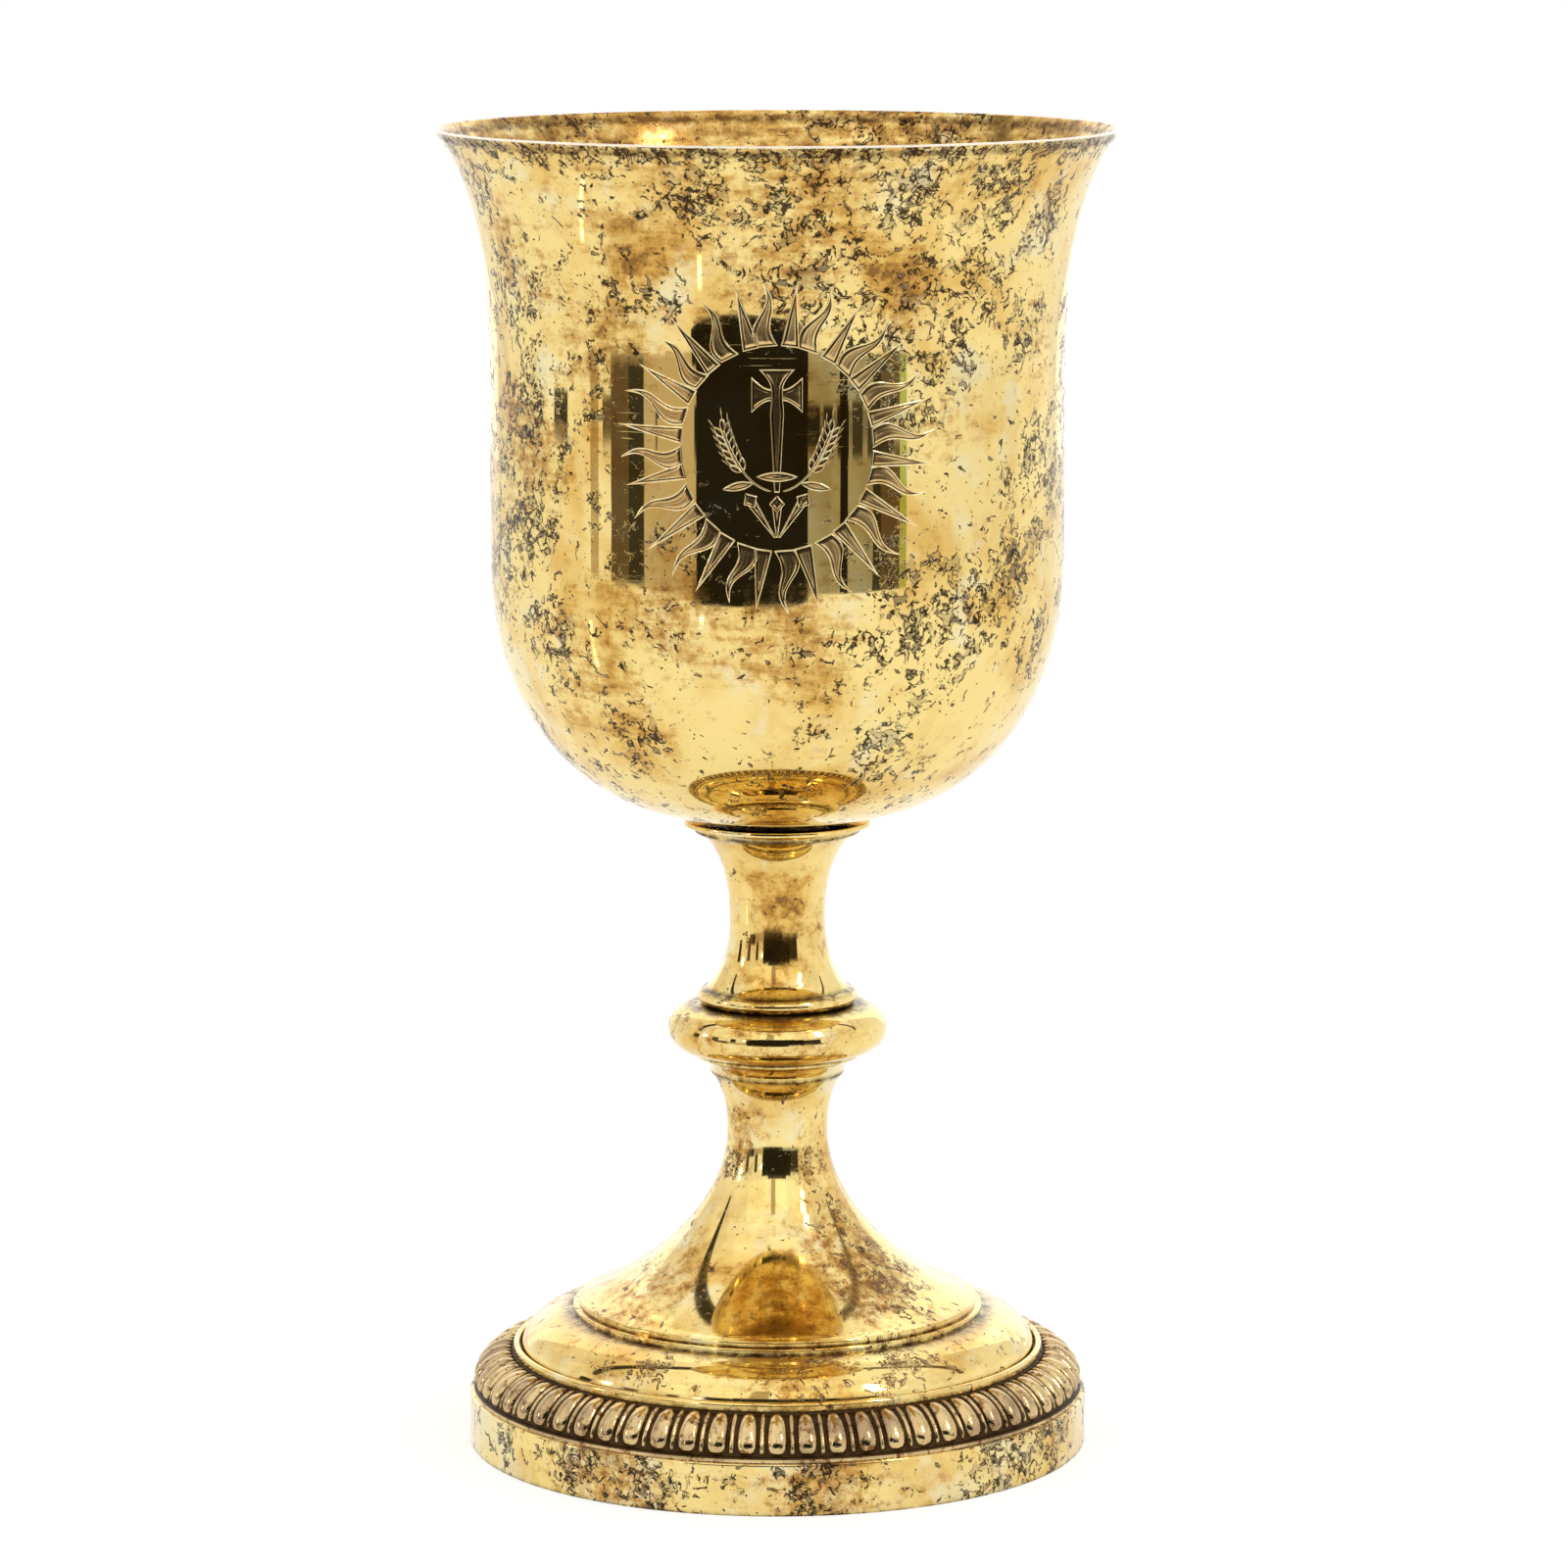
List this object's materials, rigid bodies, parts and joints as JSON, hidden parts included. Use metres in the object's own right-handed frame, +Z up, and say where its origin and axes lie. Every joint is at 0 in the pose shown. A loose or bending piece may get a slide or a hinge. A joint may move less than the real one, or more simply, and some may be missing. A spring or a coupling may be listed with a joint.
{
  "type": "communion chalice",
  "caption": "Footed cup with a flared bowl, a waisted stem with a flattened knop, and a round trumpet foot with a gadrooned border, held by a tie rod.",
  "frame": {"origin": "centre of the foot's resting face, on the floor", "axes": "+Z up along the chalice's own axis, from the foot to the lip; the engraved side of the bowl faces -Y"},
  "size_m": [0.1228, 0.1228, 0.24],
  "materials": {
    "gilt_bowl": "polished silver-gilt, stained and spotted",
    "gilt_stem": "polished silver-gilt, stained",
    "gilt_foot": "polished silver-gilt, spotted with tarnish",
    "gilt_band": "worn silver-gilt, spotted with tarnish",
    "gadroon": "cast and gilt, dark in the grooves",
    "silver": "dull silver, not gilt",
    "steel": "dull steel"
  },
  "bodies": {
    "chalice": {"bowl": "gilt_bowl", "bowl_boss": "silver", "tie_rod": "steel", "stem_top_flange": "gilt_stem", "upper_stem": "gilt_stem", "upper_stem_ring": "gilt_stem", "knop_upper_half": "gilt_stem", "knop_lower_half": "gilt_stem", "knop_core_tube": "silver", "lower_stem_collar": "gilt_stem", "foot_trumpet": "gilt_foot", "foot_tier": "gilt_foot", "foot_tier_wire": "gilt_foot", "gadroon_border": "gadroon", "foot_rim_band": "gilt_band", "foot_base_ring": "gilt_band", "foot_bridge_plate": "silver"},
    "washer": {"tie_washer": "steel"},
    "nut": {"tie_nut": "steel"}
  },
  "joints": [
    {"name": "washer_slide", "type": "slide", "parent": "chalice", "child": "washer", "axis": [0, 0, -1], "range_m": [0, 0.0051]},
    {"name": "nut_turn", "type": "hinge", "parent": "washer", "child": "nut", "pos_m": [0, 0, 0.0328], "axis": [0, 0, -1], "range_deg": [0, 1800]}
  ],
  "couplings": [
    {"joint": "washer_slide", "follows": "nut_turn", "m_per_rad": 0.00015915}
  ]
}
